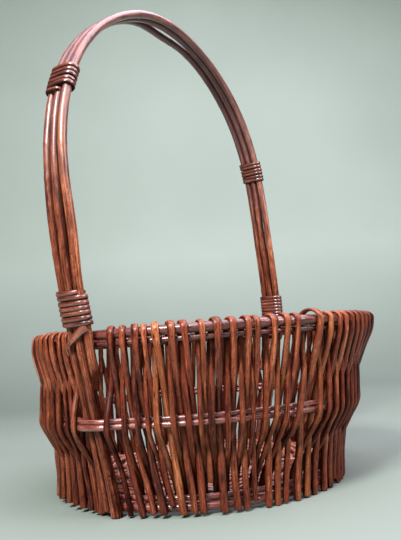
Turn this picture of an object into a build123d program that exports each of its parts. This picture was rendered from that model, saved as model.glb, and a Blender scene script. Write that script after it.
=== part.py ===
"""Round willow basket with a fixed arched handle.

The wall is woven upright: long willow rods are bent double over the rim like
hairpins.  The outer leg of each hairpin runs outside the rim, inside the
middle hoops and outside the base hoops; the inner leg runs the other way, so
the two sets of legs lock the hoops between them.  The handle is three rods
laid side by side; their ends run down through the wall to the base and they
are bound together with four wound bindings.  The floor is a pierced cross of
base sticks with rounds of thin rod woven over and under them.

Frame: origin on the standing plane under the middle of the whole basket, +Z
up, the handle arches close to the YZ plane.  Millimetres.
"""
from build123d import *
import math
import os

# ---------------------------------------------------------------- dimensions
HOOP_LOW_R, HOOP_LOW_ROD, HOOP_LOW_Z = 127.0, 3.3, 11.5      # thick base hoop
HOOP_UP_R, HOOP_UP_ROD, HOOP_UP_Z = 127.0, 2.2, 19.5         # thin base hoop
MID_R = 145.0                                                # middle hoops
MID_UP_ROD, MID_UP_Z = 1.9, 80.8
MID_LOW_ROD, MID_LOW_Z = 2.4, 76.1
MID_Z = 78.5
RIM_R, RIM_ROD, RIM_Z = 155.0, 4.0, 146.5                    # rim hoop
UNDER_ROD, UNDER_Z = 2.3, 139.4                              # rod under the rim
HOOP_END_GAP = 0.4                                           # between the two cut ends of a hoop

WALL_ROD = 2.4            # radius of the wall rods
GAP = 0.15                # clearance left between pieces that touch
RIM_GAP = 0.28            # the same where the wall rods fold over the rim
RODS_PER_SIDE = 40        # hairpins from one handle end to the other
FIRST_DEG, LAST_DEG = 7.4, 171.2   # first and last hairpin, from a handle end
MID_IN, MID_OUT = 1.35, 2.85       # room for the bends round the middle hoops
INNER_END_Z = 18.0        # cut ends of the inner legs, standing on the floor
FOOT_Z = 6.0              # standing ends, cut level; the finished basket is lowered by this much

SKEW_X, SKEW_Y = 0.0571, 0.0369    # the woven body leans: sideways shift per mm of height
SKEW_Z0 = 147.0                    # height at which the lean is counted as nothing

MIDDLE_ROD, SIDE_ROD = 3.9, 3.7    # radii of the middle and the outer handle rods
HANDLE_PITCH = 7.75       # side-by-side spacing of the handle rods
ARCH_Z0 = 147.0           # the arch springs from here
ARCH = [                  # (y, z) over the handle, from the near rim to the far rim
    (-167.6, 167.5), (-173.4, 209.3), (-176.4, 250.7), (-176.2, 293.1), (-169.9, 334.4), (-163.6, 354.4),
    (-155.0, 373.6), (-144.3, 391.5), (-131.4, 408.1), (-116.8, 423.1), (-100.5, 436.4), (-83.0, 448.1),
    (-64.4, 458.1), (-44.8, 465.7), (-24.5, 470.5), (-3.7, 472.2), (17.1, 470.6), (37.7, 466.1),
    (57.6, 459.3), (76.6, 450.2), (94.2, 439.0), (110.3, 425.7), (124.5, 410.3), (136.6, 393.0),
    (146.4, 374.5), (153.8, 355.1), (158.8, 335.0), (161.5, 314.4), (164.2, 272.2), (166.9, 230.3),
    (168.3, 188.8), (167.5, 167.5),
]
HANDLE_X, HANDLE_TURN, HANDLE_LEAN = -2.0, 0.01515, -0.031   # the plane the handle stands in
FOOT_X = 9.0              # sideways drift of the handle feet
SHORT_END_Z = 96.0        # outer handle rods: short end
LONG_END_Z = 9.5          # outer handle rods: long end

BIND_ROD = 1.5            # radius of the binding rods
BIND_PITCH = 4.1
BIND_LOW_Z, BIND_NEAR_Z, BIND_FAR_Z = 158.5, 349.0, 332.0   # where the bindings start
TIE_ROD = 1.5

STICK_ROD, TONGUE_ROD = 2.75, 1.1  # base sticks and their thinned ends
STICK_Z = 16.05
STICK_PIERCED_ROD = 3.95           # swelling where a stick is pierced
STICK_PITCH = 8.4
WEAVE_ROD = 1.9                    # floor weaving rods
WEAVE_FIRST_R, WEAVE_LAST_R, WEAVE_ROUNDS = 30.0, 112.0, 20

# ---------------------------------------------------------------- helpers


def polar(r, deg, z):
    """Point at radius r and angle deg, counted from the near handle end (-Y) towards +X."""
    a = math.radians(deg - 90.0)
    return Vector(r * math.cos(a), r * math.sin(a), z)


def skew(p):
    """The hand-woven body leans a little: each level is shifted sideways by its height."""
    h = p.Z - SKEW_Z0
    return Vector(p.X + SKEW_X * h, p.Y + SKEW_Y * h, p.Z)


def radii_for(points, closed=False, share=0.45, limit=1e9):
    """The largest corner radii that the runs on either side leave room for."""
    n = len(points)
    out = []
    corners = range(n) if closed else range(1, n - 1)
    for i in corners:
        a, b, c = points[i - 1], points[i], points[(i + 1) % n]
        u, v = b - a, c - b
        turn = math.radians(u.get_angle(v))
        half = max(turn / 2, 1e-4)
        out.append(min(share * min(u.length, v.length) / math.tan(half), limit))
    return out


def tube(points, rod, radii, close=False, level=False):
    """A round rod along straight runs joined by tangent arcs; level cuts its first end level."""
    path = FilletPolyline(*points, radius=radii, close=close)
    section = Plane(origin=path @ 0, z_dir=(0, 0, 1) if level else path % 0) * Circle(rod)
    return sweep(section, path=path)


def hoop(r, rod, z, deg):
    """A rod bent round into a ring, its two cut ends meeting behind a wall rod."""
    gap = math.degrees(HOOP_END_GAP / r)
    third = (360.0 - gap) / 3
    start = deg - 90.0 + gap / 2
    arcs = [CenterArc(skew(Vector(0, 0, z)), r, start + third * k, third) for k in range(3)]
    path = Wire(arcs)
    section = Plane(origin=path @ 0, z_dir=path % 0) * Circle(rod)
    return sweep(section, path=path)


# ---------------------------------------------------------------- hoops
def make_hoops():
    return {
        "rim_hoop": hoop(RIM_R, RIM_ROD, RIM_Z, 118.0),
        "under_rim_rod": hoop(RIM_R, UNDER_ROD, UNDER_Z, 236.0),
        "middle_hoop_upper": hoop(MID_R, MID_UP_ROD, MID_UP_Z, 292.0),
        "middle_hoop_lower": hoop(MID_R, MID_LOW_ROD, MID_LOW_Z, 141.0),
        "base_hoop_upper": hoop(HOOP_UP_R, HOOP_UP_ROD, HOOP_UP_Z, 203.0),
        "base_hoop_lower": hoop(HOOP_LOW_R, HOOP_LOW_ROD, HOOP_LOW_Z, 57.0),
    }


# ---------------------------------------------------------------- wall rods
RO_RIM = RIM_R + RIM_ROD + WALL_ROD + RIM_GAP
RI_RIM = RIM_R - RIM_ROD - WALL_ROD - RIM_GAP
RI_MID = MID_R - MID_LOW_ROD - WALL_ROD - GAP
RO_MID = MID_R + MID_LOW_ROD + WALL_ROD + GAP
RO_BASE = HOOP_LOW_R + HOOP_LOW_ROD + WALL_ROD + GAP
RI_BASE = HOOP_UP_R - HOOP_UP_ROD - WALL_ROD - GAP
TOP_Z = RIM_Z + RIM_ROD + WALL_ROD + RIM_GAP
LEG_STEP = (LAST_DEG - FIRST_DEG) / (RODS_PER_SIDE - 1) / 2   # degrees between legs


def wall_rod(deg):
    """One hairpin: up outside, over the rim, down inside."""
    o, i = deg + LEG_STEP / 2, deg - LEG_STEP / 2
    pts = [
        polar(RO_BASE, o, FOOT_Z),
        polar(RO_BASE, o, 26),
        polar(RI_MID - MID_IN, o, MID_Z),
        polar(RO_RIM, o, 134),
        polar(RO_RIM, o, TOP_Z),
        polar(RI_RIM, i, TOP_Z),
        polar(RI_RIM, i, 134),
        polar(RO_MID + MID_OUT, i, MID_Z - 1.3),
        polar(RI_BASE, i, 27),
        polar(RI_BASE, i, INNER_END_Z),
    ]
    over = (pts[5] - pts[4]).length / 2 - 0.25
    radii = [30, 50, 15, over, over, 15, 45, 9]
    return tube([skew(p) for p in pts], WALL_ROD, radii, level=True)


def make_wall():
    step = 2 * LEG_STEP
    nodes = {}
    for side, turn in (("right", 0.0), ("left", 180.0)):
        for g in range(RODS_PER_SIDE // 4):
            rods = [wall_rod(turn + FIRST_DEG + step * (4 * g + k)) for k in range(4)]
            nodes[f"wall_rods_{side}_{g + 1:02d}"] = rods
    return nodes


# ---------------------------------------------------------------- handle
HO_RIM = RIM_R + RIM_ROD + MIDDLE_ROD + 0.2
HI_MID = MID_R - MID_LOW_ROD - MIDDLE_ROD - 0.2
HO_BASE = HOOP_LOW_R + HOOP_LOW_ROD + MIDDLE_ROD + GAP
LEG_TOP_Z = 132.0


def handle_point(x, y, z):
    """A point of the handle, x being the rod's place across it.

    Above the rim it stands in its own plane; in the wall it leans with the body,
    and the feet drift sideways.
    """
    if z > ARCH_Z0 + 5:
        return Vector(x + HANDLE_X + HANDLE_TURN * y + HANDLE_LEAN * (z - ARCH_Z0), y, z)
    at_rim = HANDLE_X + math.copysign(HANDLE_TURN * HO_RIM, y)
    share = max(0.0, (LEG_TOP_Z - z) / (LEG_TOP_Z - FOOT_Z))
    return skew(Vector(x + at_rim + (math.copysign(FOOT_X, -y) - at_rim) * share, y, z))


def handle_leg(end_z):
    """(y, z) of a handle leg in the wall, from its end up to the rim, near side."""
    inside = HI_MID - 1.45
    if end_z > MID_Z:
        share = (end_z - MID_Z) / (LEG_TOP_Z - MID_Z)
        pts = [(-(inside + (HO_RIM - inside) * share), end_z)]
    else:
        pts = [(-HO_BASE, end_z), (-HO_BASE, 25.0), (-inside, MID_Z)]
    return pts + [(-HO_RIM, LEG_TOP_Z), (-HO_RIM, 150.0)]


def handle_line(x, near_end, far_end):
    """Centre line of a handle rod and its corner radii."""
    near = handle_leg(near_end)
    far = [(-y, z) for y, z in reversed(handle_leg(far_end))]
    pts = [handle_point(x, y, z) for y, z in near + ARCH + far]
    radii = radii_for(pts, limit=400)
    for k in range(len(near) - 1):
        radii[k] = min(radii[k], 45.0)
    for k in range(len(far) - 1):
        radii[-1 - k] = min(radii[-1 - k], 45.0)
    return pts, radii


def handle_rod(x, rod, near_end, far_end):
    pts, radii = handle_line(x, near_end, far_end)
    return tube(pts, rod, radii)


def middle_rod():
    """The middle handle rod, the one that stands on both its ends, cut level."""
    rod = handle_rod(0.0, MIDDLE_ROD, FOOT_Z - 2, FOOT_Z - 2)
    return split(rod, bisect_by=Plane.XY.offset(FOOT_Z), keep=Keep.TOP)


def handle_axis():
    pts, radii = handle_line(0.0, FOOT_Z, FOOT_Z)
    return FilletPolyline(*pts, radius=radii)


def length_at_height(axis, z):
    """Length along the handle, from its near end, where it first reaches height z."""
    low, high = 0.0, axis.length / 2
    for _ in range(40):
        mid = (low + high) / 2
        if axis.position_at(mid, position_mode=PositionMode.LENGTH).Z < z:
            low = mid
        else:
            high = mid
    return low


def binding(axis, start, turns):
    """A rod wound round the three handle rods, starting at a length along the handle."""
    half_w = HANDLE_PITCH + SIDE_ROD + BIND_ROD + 0.4
    half_t = MIDDLE_ROD + BIND_ROD + 0.4
    corners = [(1, 1), (-1, 1), (-1, -1), (1, -1)]
    pts = []
    for k in range(4 * turns + 1):
        at = start + BIND_PITCH * k / 4
        p = axis.position_at(at, position_mode=PositionMode.LENGTH)
        t = axis.tangent_at(at, position_mode=PositionMode.LENGTH)
        n = Vector(1, 0, 0).cross(t).normalized() * -1
        x = n.cross(t).normalized()
        sx, sn = corners[k % 4]
        pts.append(p + x * (sx * half_w) + n * (sn * half_t))
    first, last = pts[1] - pts[0], pts[-1] - pts[-2]
    pts[0] = pts[0] + first.normalized() * 7.0
    pts[-1] = pts[-1] - last.normalized() * 4.0
    return tube(pts, BIND_ROD, [half_t - 0.3] * (len(pts) - 2))


def tie(turn, x_mid, room):
    """The end of the lower binding, lashed slantwise over the handle legs and tucked under the rim."""
    y_out = -(HO_RIM + MIDDLE_ROD + TIE_ROD + 0.4)
    x_side = HANDLE_PITCH + SIDE_ROD + TIE_ROD + room
    top = RIM_Z + RIM_ROD + TIE_ROD + 0.3
    pts = [
        Vector(x_mid + x_side - 1.5, -147.0, top - 5.0),
        Vector(x_mid + x_side - 1.0, -147.5, top),
        Vector(x_mid + x_side, y_out - 1.3, top),
        Vector(x_mid - x_side, y_out, 136.0),
        Vector(x_mid - x_side + 0.4, -154.0, 132.2),
    ]
    pts = [skew(p.rotate(Axis.Z, turn)) for p in pts]
    return tube(pts, TIE_ROD, [2.4, 4.5, 4.5])


def make_handle():
    axis = handle_axis()
    low, near_up, far_up = (length_at_height(axis, z) for z in (BIND_LOW_Z, BIND_NEAR_Z, BIND_FAR_Z))
    return {
        "handle_rod_left": handle_rod(-HANDLE_PITCH, SIDE_ROD, LONG_END_Z, SHORT_END_Z),
        "handle_rod_middle": middle_rod(),
        "handle_rod_right": handle_rod(HANDLE_PITCH, SIDE_ROD, SHORT_END_Z, LONG_END_Z),
        "handle_binding_near_lower": binding(axis, low, 7),
        "handle_binding_near_upper": binding(axis, near_up, 6),
        "handle_binding_far_upper": binding(axis, axis.length - far_up - 6 * BIND_PITCH, 6),
        "handle_binding_far_lower": binding(axis, axis.length - low - 7 * BIND_PITCH, 7),
        "handle_tie_near": tie(0.0, HANDLE_X - HANDLE_TURN * HO_RIM, 0.5),
        "handle_tie_far": tie(180.0, -HANDLE_X - HANDLE_TURN * HO_RIM, 0.9),
    }


# ---------------------------------------------------------------- floor
def stick(offset, turn, pierced):
    """A base stick; offset sticks run straight through the middle and then fan out 30 degrees."""
    body_end, cone_end, tip = 113.0, 116.5, 128.0
    a = math.radians(30.0) * (0 if offset == 0 else math.copysign(1, offset))
    if offset == 0:
        body = Pos(0, 0, STICK_Z) * Rot(0, 90, 0) * Cylinder(STICK_ROD, 2 * body_end)
    else:
        bend = abs(offset) / math.tan(math.radians(30.0))
        pts = [
            Vector(-body_end * math.cos(a), body_end * math.sin(a), STICK_Z),
            Vector(-bend, offset, STICK_Z),
            Vector(bend, offset, STICK_Z),
            Vector(body_end * math.cos(a), body_end * math.sin(a), STICK_Z),
        ]
        body = tube(pts, STICK_ROD, [12.0, 12.0])
    for sign in (1, -1):
        d = math.degrees(a) if sign > 0 else 180.0 - math.degrees(a)
        end = Rot(0, 0, d) * Pos((body_end + cone_end) / 2, 0, STICK_Z) * Rot(0, 90, 0)
        body = body + end * Cone(STICK_ROD, TONGUE_ROD, cone_end - body_end)
        end = Rot(0, 0, d) * Pos((cone_end + tip) / 2, 0, STICK_Z) * Rot(0, 90, 0)
        body = body + end * Cylinder(TONGUE_ROD, tip - cone_end)
    if pierced:
        body = body + Pos(0, offset, STICK_Z) * Rot(0, 90, 0) * Cylinder(STICK_PIERCED_ROD, 25.0)
        slot = Box(2 * (STICK_PITCH + STICK_ROD) + 0.3, 3 * STICK_PIERCED_ROD, 2 * STICK_ROD + 0.2)
        body = body - Pos(0, offset, STICK_Z) * slot
    return Rot(0, 0, turn) * body


def weave_round(index):
    """One round of floor weaving, over and under the twelve stick ends in turn."""
    r = WEAVE_FIRST_R + (WEAVE_LAST_R - WEAVE_FIRST_R) * index / (WEAVE_ROUNDS - 1)
    rise = STICK_ROD + WEAVE_ROD + 0.7
    half_run = 2 * r * math.sin(math.radians(7.5))
    slope = math.atan2(rise, half_run)
    bend = min(0.4 * math.hypot(half_run, rise) / math.tan(slope), 12.0)
    rise += bend * (1 / math.cos(slope) - 1)
    pts, radii = [], []
    for k in range(24):
        sign = 0 if k % 2 else (1 if (k // 2 + index) % 2 else -1)
        pts.append(polar(r, 15.0 * k, STICK_Z + sign * rise))
        radii.append(6.0 if k % 2 else bend)
    return tube(pts, WEAVE_ROD, radii, close=True)


def make_floor():
    nodes = {}
    for k, off in enumerate((-STICK_PITCH, 0.0, STICK_PITCH)):
        nodes[f"base_stick_pierced_{k + 1}"] = stick(off, 0.0, True)
        nodes[f"base_stick_through_{k + 1}"] = stick(off, 90.0, False)
    rounds = [weave_round(k) for k in range(WEAVE_ROUNDS)]
    nodes["floor_weave_inner"] = rounds[:6]
    nodes["floor_weave_middle"] = rounds[6:13]
    nodes["floor_weave_outer"] = rounds[13:]
    shift = skew(Vector(0, 0, STICK_Z))
    place = Pos(shift.X, shift.Y, 0)
    return {n: [place * s for s in v] if isinstance(v, list) else place * v for n, v in nodes.items()}


# ---------------------------------------------------------------- build
def main():
    os.makedirs("parts", exist_ok=True)
    for old in os.listdir("parts"):
        if old.endswith(".step"):
            os.remove(os.path.join("parts", old))
    nodes = {}
    nodes.update(make_hoops())
    nodes.update(make_wall())
    nodes.update(make_handle())
    nodes.update(make_floor())
    nodes = {n: v if isinstance(v, list) else [v] for n, v in nodes.items()}
    boxes = [piece.bounding_box() for pieces in nodes.values() for piece in pieces]
    mid_x = (min(b.min.X for b in boxes) + max(b.max.X for b in boxes)) / 2
    mid_y = (min(b.min.Y for b in boxes) + max(b.max.Y for b in boxes)) / 2
    centre = Pos(-mid_x, -mid_y, -FOOT_Z)
    for name, pieces in nodes.items():
        solids = [s for piece in pieces for s in (centre * piece).solids()]
        shape = solids[0] if len(solids) == 1 else Compound(children=solids)
        export_step(shape, f"parts/{name}.step")
    print("rim centre at", round(-mid_x, 3), round(-mid_y, 3))
    print(len(nodes), "nodes")


main()
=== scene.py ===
import math

import bpy
import numpy as np
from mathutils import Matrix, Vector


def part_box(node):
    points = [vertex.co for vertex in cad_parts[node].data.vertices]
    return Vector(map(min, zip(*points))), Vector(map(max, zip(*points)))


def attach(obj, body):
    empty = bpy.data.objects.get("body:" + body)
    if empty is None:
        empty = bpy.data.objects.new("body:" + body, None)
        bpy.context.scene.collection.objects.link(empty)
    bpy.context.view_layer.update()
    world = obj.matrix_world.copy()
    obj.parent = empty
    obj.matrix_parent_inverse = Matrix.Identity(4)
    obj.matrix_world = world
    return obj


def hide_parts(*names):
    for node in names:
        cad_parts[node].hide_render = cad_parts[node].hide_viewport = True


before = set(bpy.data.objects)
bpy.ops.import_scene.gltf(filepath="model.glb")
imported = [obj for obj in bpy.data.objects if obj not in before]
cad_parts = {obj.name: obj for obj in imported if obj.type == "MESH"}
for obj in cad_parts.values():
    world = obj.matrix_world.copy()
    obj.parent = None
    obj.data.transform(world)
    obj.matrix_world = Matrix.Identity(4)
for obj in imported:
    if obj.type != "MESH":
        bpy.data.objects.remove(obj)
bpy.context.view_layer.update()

# ------------------------------------------------------------------ frame
# Everything below is worked out in millimetres about the middle of the rim
# hoop, and moved into the row frame when a mesh is made.
_lo, _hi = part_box("rim_hoop")
RIM_R, RIM_ROD, RIM_Z = 155.0, 4.0, 146.5
OFFSET = np.array([(_lo[k] + _hi[k]) * 500.0 for k in range(3)]) - [0.0, 0.0, RIM_Z]

UNDER_ROD, UNDER_Z = 2.3, 139.4
MID_R, MID_UP_ROD, MID_UP_Z, MID_LOW_ROD, MID_LOW_Z = 145.0, 1.9, 80.8, 2.4, 76.1
BASE_R, BASE_LOW_ROD, BASE_LOW_Z, BASE_UP_ROD, BASE_UP_Z = 127.0, 3.4, 12.0, 2.3, 19.0
SKEW_X, SKEW_Y, SKEW_Z0 = 0.0571, 0.0369, 147.0
FOOT_Z = 6.0
RODS_PER_SIDE, FIRST_DEG, LAST_DEG = 40, 7.4, 171.2
ARCH_Z0 = 147.0
ARCH = [
    (-167.6, 167.5), (-170.9, 188.5), (-173.4, 209.3), (-175.2, 229.8), (-176.4, 250.7), (-176.8, 271.9),
    (-176.2, 293.1), (-174.0, 313.9), (-169.9, 334.4), (-163.6, 354.4), (-155.0, 373.6), (-144.3, 391.5),
    (-131.4, 408.1), (-116.8, 423.1), (-100.5, 436.4), (-83.0, 448.1), (-64.4, 458.1), (-44.8, 465.7),
    (-24.5, 470.5), (-3.7, 472.2), (17.1, 470.6), (37.7, 466.1), (57.6, 459.3), (76.6, 450.2), (94.2, 439.0),
    (110.3, 425.7), (124.5, 410.3), (136.6, 393.0), (146.4, 374.5), (153.8, 355.1), (158.8, 335.0),
    (161.5, 314.4), (162.9, 293.4), (164.2, 272.2), (165.6, 251.1), (166.9, 230.3), (167.8, 209.7),
    (168.3, 188.8), (167.5, 167.5)]
HANDLE_X, HANDLE_TURN, HANDLE_LEAN, FOOT_X = -2.0, 0.01515, -0.031, 9.0
MIDDLE_ROD, SIDE_ROD, HANDLE_PITCH = 4.0, 3.75, 7.8
STICK_Z, STICK_ROD, STICK_PITCH = 16.05, 2.75, 8.4
WEAVE_FIRST_R, WEAVE_LAST_R, WEAVE_ROUNDS, WEAVE_ROD = 30.0, 112.0, 20, 1.95


# ------------------------------------------------------------------ curves
def catmull(x, y, q):
    """Smooth curve through (x, y), x rising, read at q."""
    x, y, q = np.asarray(x, float), np.asarray(y, float), np.asarray(q, float)
    d = np.gradient(y, x, axis=0)
    k = np.clip(np.searchsorted(x, q) - 1, 0, len(x) - 2)
    h = x[k + 1] - x[k]
    t = (q - x[k]) / h
    if y.ndim > 1:
        h, t = h[:, None], t[:, None]
    return ((2 * t**3 - 3 * t**2 + 1) * y[k] + (t**3 - 2 * t**2 + t) * h * d[k]
            + (-2 * t**3 + 3 * t**2) * y[k + 1] + (t**3 - t**2) * h * d[k + 1])


def wander(rng, n, step, wave, size):
    """n smooth random values, step mm apart, with bends about wave mm long."""
    length = max(n * step, wave)
    knots = int(length / wave) + 4
    return catmull(np.arange(knots), rng.normal(0, size, knots), 1 + np.arange(n) * step / wave)


def polar(r, deg, z):
    a = np.radians(np.asarray(deg, float) - 90.0)
    return np.stack([r * np.cos(a), r * np.sin(a), np.broadcast_to(np.asarray(z, float), np.shape(a))], -1)


def skew(p):
    h = p[:, 2] - SKEW_Z0
    return p + np.stack([SKEW_X * h, SKEW_Y * h, 0 * h], -1)


def even(points, step, closed=False):
    """The same line with points about step mm apart."""
    p = np.asarray(points, float)
    if closed:
        p = np.vstack([p, p[:1]])
    s = np.concatenate([[0], np.cumsum(np.linalg.norm(np.diff(p, axis=0), axis=1))])
    n = max(4, int(round(s[-1] / step)))
    q = np.linspace(0, s[-1], n + 1)
    if closed:
        q = q[:-1]
    return np.stack([np.interp(q, s, p[:, i]) for i in range(3)], -1)


# ------------------------------------------------------------------ rods
class Piece:
    """Gathers willow rods into one mesh, with the straightened rod's own coordinates kept on it."""

    def __init__(self, name, nodes, slot, material):
        self.name, self.nodes, self.slot, self.material = name, nodes, slot, material
        self.verts, self.rod, self.tone, self.cut, self.painted_shade = [], [], [], [], []
        self.faces, self.count = [], 0
        self.strips = []

    def add(self, points, radius, rng, tone=0.0, warm=0.0, sides=12, closed=False, oval=1.0, knots=1.0,
            cut_tone=0.5, up=None, rough=1.0, across=None, thick=1.0, wide=1.0, painted_shade=None):
        """painted_shade(angles) gives 0 to 1 for how far each side of the rod lies in a crevice, by point: how much
        painted shade that side gets.
        """
        p = np.asarray(points, float)
        n = len(p)
        r = np.broadcast_to(np.asarray(radius, float), (n,)).copy()
        if closed:
            d = np.roll(p, -1, 0) - np.roll(p, 1, 0)
            seg = np.linalg.norm(np.roll(p, -1, 0) - p, axis=1)
            s = np.concatenate([[0], np.cumsum(seg)[:-1]])
        else:
            d = np.gradient(p, axis=0)
            seg = np.linalg.norm(np.diff(p, axis=0), axis=1)
            s = np.concatenate([[0], np.cumsum(seg)])
        step = max(float(np.mean(seg)), 1e-6)
        t = d / np.linalg.norm(d, axis=1)[:, None]
        # carry the side direction along the rod without twisting it
        u = np.zeros_like(p)
        first = np.array([0.0, 0.0, 1.0]) if up is None else np.asarray(up, float)
        if abs(first @ t[0]) > 0.9:
            first = np.array([1.0, 0.0, 0.0])
        u[0] = first - t[0] * (first @ t[0])
        u[0] /= np.linalg.norm(u[0])
        for k in range(1, n):
            w = u[k - 1] - t[k] * (u[k - 1] @ t[k])
            u[k] = w / np.linalg.norm(w)
        if closed:
            w = u[-1] - t[0] * (u[-1] @ t[0])
            w /= np.linalg.norm(w)
            off = math.atan2(np.cross(u[0], w) @ t[0], u[0] @ w)
            a = -off * np.arange(n) / n
            v = np.cross(t, u)
            u = u * np.cos(a)[:, None] + v * np.sin(a)[:, None]
        v = np.cross(t, u)
        if across is not None:
            # the caller says which way the rod is broad
            w = np.broadcast_to(np.asarray(across, float), p.shape)
            v = w - t * np.sum(w * t, 1)[:, None]
            v /= np.linalg.norm(v, axis=1)[:, None]
            u = np.cross(v, t)
        thick = np.broadcast_to(np.asarray(thick, float), (n,))
        wide = np.broadcast_to(np.asarray(wide, float), (n,))
        # uneven growth: slow swelling, and a small ring where a bud sat every few centimetres
        if not closed:
            r *= 1 + rough * wander(rng, n, step, 38.0, 0.022) + rough * wander(rng, n, step, 9.0, 0.010)
        at = rng.uniform(8, 40)
        while at < s[-1] and knots > 0:
            r *= 1 + knots * rng.uniform(0.025, 0.075) * np.exp(-((s - at) / rng.uniform(1.4, 2.6)) ** 2)
            at += rng.uniform(26, 62)
        ang = 2 * math.pi * np.arange(sides) / sides
        if closed:
            ov = np.full(n, oval) + 0.0
            ph = np.zeros(n)
            lump = np.zeros((n, sides))
        else:
            ov = oval + wander(rng, n, step, 60.0, 0.03 * rough)
            ph = wander(rng, n, step, 90.0, 0.5)
            lump = np.stack([wander(rng, n, step, 14.0, 0.012 * rough) for _ in range(sides)], 1)
        shape = 1 + (ov[:, None] - 1) * np.cos(2 * (ang[None] - ph[:, None])) + lump
        off_rod = np.array([rng.uniform(-300, 300), rng.uniform(-300, 300), rng.uniform(0, 4000)])

        def ring(k, scale, shift):
            rr = r[k] * scale * shape[k]
            xyz = (p[k] + t[k] * shift + np.outer(rr * thick[k] * np.cos(ang), u[k])
                   + np.outer(rr * wide[k] * np.sin(ang), v[k]))
            own = np.stack([rr * np.cos(ang), rr * np.sin(ang), np.full(sides, s[k] + shift)], -1) + off_rod
            return xyz, own

        rings, owns, cuts = [], [], []
        if not closed:
            for scale, shift in ((0.34, -0.02), (0.84, -0.04), (0.955, 0.10)):
                a, b = ring(0, scale, shift)
                rings.append(a), owns.append(b), cuts.append(1.0 if scale < 0.9 else 0.35)
        body = range(n) if closed else range(n)
        for k in body:
            shift = 0.45 if (k == 0 and not closed) else (-0.45 if (k == n - 1 and not closed) else 0.0)
            a, b = ring(k, 1.0, shift)
            rings.append(a), owns.append(b), cuts.append(0.0)
        if not closed:
            for scale, shift in ((0.955, -0.10), (0.84, 0.04), (0.34, 0.02)):
                a, b = ring(n - 1, scale, shift)
                rings.append(a), owns.append(b), cuts.append(1.0 if scale < 0.9 else 0.35)
        m = len(rings)
        painted_shade_mask = np.zeros((n, sides)) if painted_shade is None else np.broadcast_to(painted_shade(ang), (n, sides))
        if not closed:
            painted_shade_mask = np.concatenate([painted_shade_mask[:1]] * 3 + [painted_shade_mask] + [painted_shade_mask[-1:]] * 3)
        self.painted_shade.append(painted_shade_mask.reshape(-1))
        base = self.count
        verts = np.concatenate(rings)
        self.verts.append(verts)
        self.rod.append(np.concatenate(owns))
        self.cut.append(np.repeat(cuts, sides))
        tones = np.tile([tone, warm, cut_tone], (m * sides, 1))
        quads = []
        ids = base + np.arange(m * sides).reshape(m, sides)
        last = m if closed else m - 1
        for k in range(last):
            a, b = ids[k], ids[(k + 1) % m]
            quads.append(np.stack([a, np.roll(a, -1), np.roll(b, -1), b], -1))
        quads = np.concatenate(quads)
        self.faces.append(("quad", quads, last, sides, float(s[-1]), float(np.mean(r))))
        self.count += m * sides
        if not closed:
            tips = np.stack([p[0] - t[0] * 0.02, p[-1] + t[-1] * 0.02])
            self.verts.append(tips)
            self.rod.append(np.stack([off_rod, off_rod + [0, 0, s[-1]]]))
            self.cut.append(np.array([1.0, 1.0]))
            self.painted_shade.append(np.zeros(2))
            tones = np.vstack([tones, np.tile([tone, warm, cut_tone], (2, 1))])
            a, b = ids[0], ids[-1]
            one = np.stack([np.full(sides, self.count), np.roll(a, -1), a], -1)
            two = np.stack([np.full(sides, self.count + 1), b, np.roll(b, -1)], -1)
            self.faces.append(("tri", np.concatenate([one, two]), 0, sides, 0.0, float(np.mean(r))))
            self.count += 2
        self.tone.append(tones)

    def build(self):
        verts = (np.concatenate(self.verts) + OFFSET) / 1000.0
        faces, uvs = [], []
        rows = []
        # every rod is laid out as strips in one square map, a turn of the rod wide
        total = sum(f[4] for f in self.faces if f[0] == "quad")
        girth = np.mean([2 * math.pi * f[5] for f in self.faces if f[0] == "quad"])
        n_rows = max(len([f for f in self.faces if f[0] == "quad"]), int(round(math.sqrt(total / girth))))
        per_row = total / n_rows * 1.0
        plan = []
        for f in self.faces:
            if f[0] == "quad":
                plan.append(max(1, int(math.ceil(f[4] / (per_row * 1.25)))))
        n_rows = sum(plan) + 1
        height = 1.0 / n_rows
        row, j = 0, 0
        for kind, idx, last, sides, length, _r in self.faces:
            if kind == "quad":
                parts = plan[j]
                j += 1
                k = np.arange(last)
                cuts = np.linspace(0, last, parts + 1).round().astype(int)
                part = np.searchsorted(cuts[1:-1], k, side="right") if parts > 1 else np.zeros(last, int)
                for c in range(last):
                    lo, hi = cuts[part[c]], cuts[part[c] + 1]
                    x0 = 0.004 + 0.992 * (c - lo) / (hi - lo)
                    x1 = 0.004 + 0.992 * (c + 1 - lo) / (hi - lo)
                    y = (row + part[c] + 0.06 + 0.88 * np.arange(sides + 1) / sides) * height
                    uvs.append(np.stack([
                        np.stack([np.full(sides, x0), y[:-1]], -1), np.stack([np.full(sides, x0), y[1:]], -1),
                        np.stack([np.full(sides, x1), y[1:]], -1), np.stack([np.full(sides, x1), y[:-1]], -1)], 1).reshape(-1, 2))
                faces.append((idx, 4))
                row += parts
            else:
                faces.append((idx, 3))
                half = len(idx) // 2
                caps = getattr(self, "_caps", 0)
                self._caps = caps + 2
                n_caps = 2 * len([f for f in self.faces if f[0] == "tri"])
                for e in range(2):
                    cx = (caps + e + 0.5) / n_caps
                    cy = (n_rows - 0.5) * height
                    rad = min(0.42 / n_caps, 0.42 * height)
                    a0 = 2 * math.pi * np.arange(half) / half
                    a1 = 2 * math.pi * (np.arange(half) + 1) / half
                    c = np.stack([np.full(half, cx), np.full(half, cy)], -1)
                    q0 = c + rad * np.stack([np.cos(a0), np.sin(a0)], -1)
                    q1 = c + rad * np.stack([np.cos(a1), np.sin(a1)], -1)
                    uvs.append((np.stack([c, q1, q0], 1) if e == 0 else np.stack([c, q0, q1], 1)).reshape(-1, 2))
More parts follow.
